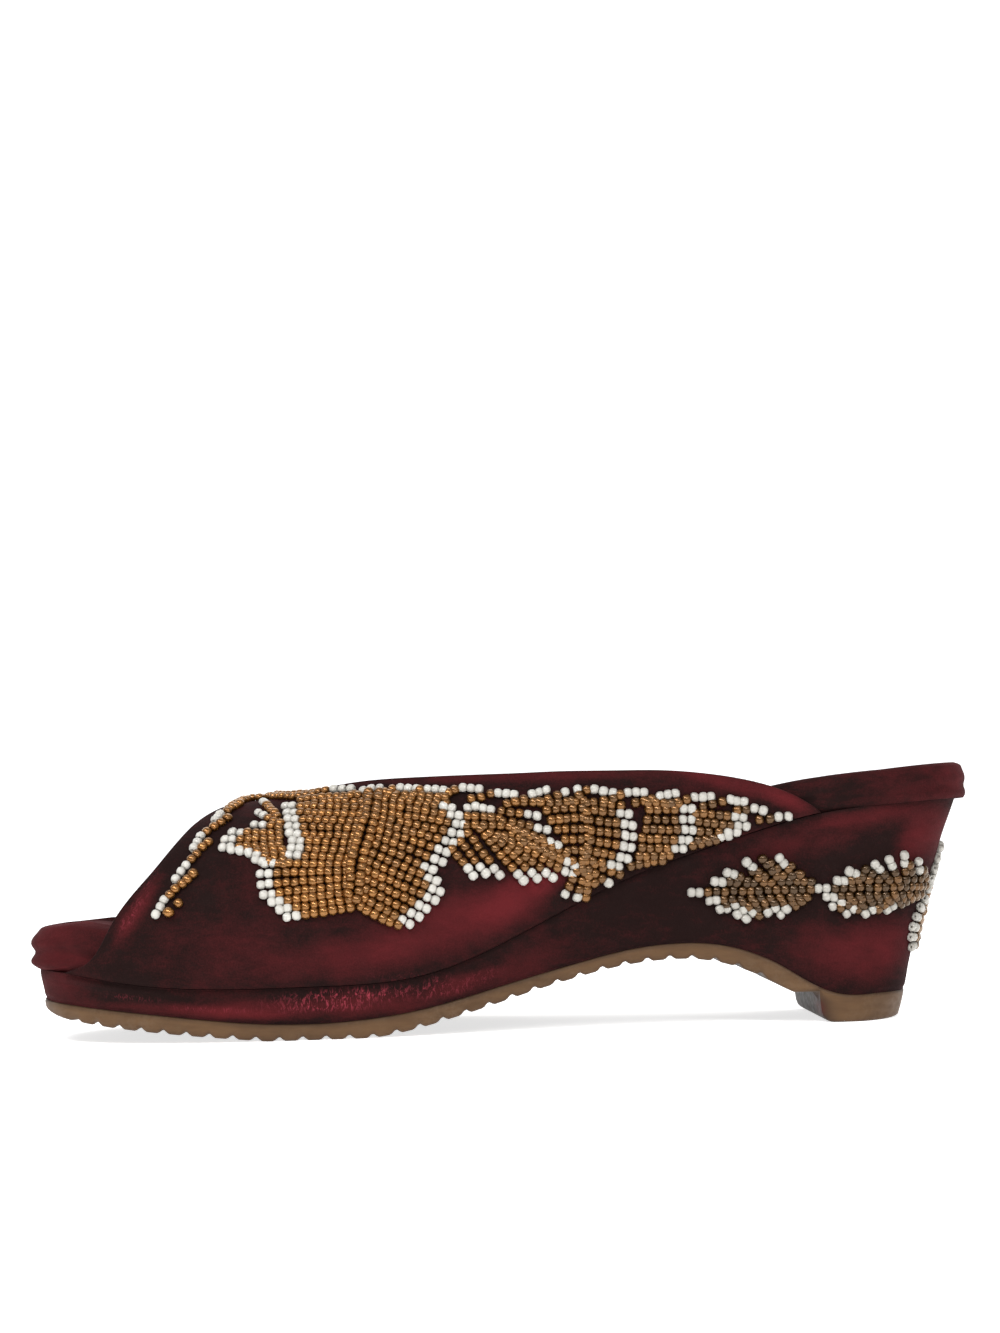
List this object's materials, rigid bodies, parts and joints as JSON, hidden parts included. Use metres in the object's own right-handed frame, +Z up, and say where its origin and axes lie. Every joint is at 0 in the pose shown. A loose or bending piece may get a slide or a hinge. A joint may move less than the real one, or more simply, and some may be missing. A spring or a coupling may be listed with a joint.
{
  "type": "wedge slipper",
  "caption": "backless open-toe wedge mule for the right foot, with a covered wedge, a padded footbed, a ribbed outsole and an arched vamp with raised beadwork",
  "frame": {"origin": "centre of the bounding box, on the floor the slipper stands on", "axes": "+X points to the toe, +Y to the inner side of the foot, +Z up"},
  "size_m": [0.2468, 0.0914, 0.066],
  "materials": {
    "rubber": "tan moulded rubber, satin, with fine ribs across its underside",
    "velvet": "dark burgundy velvet with crushed, glinting nap",
    "beads": "rows of small amber-brown glass beads ending in pearl-white ones, glossy"
  },
  "bodies": {
    "root": {"outsole": "rubber", "wedge": "velvet", "footbed": "velvet", "vamp": "velvet", "beadwork_inner": "beads", "beadwork_outer": "beads", "garland_toe": "beads", "garland_throat": "beads", "leaf_front_inner": "beads", "leaf_front_outer": "beads", "leaf_back_inner": "beads", "leaf_back_outer": "beads", "flower_heel": "beads"}
  },
  "joints": []
}
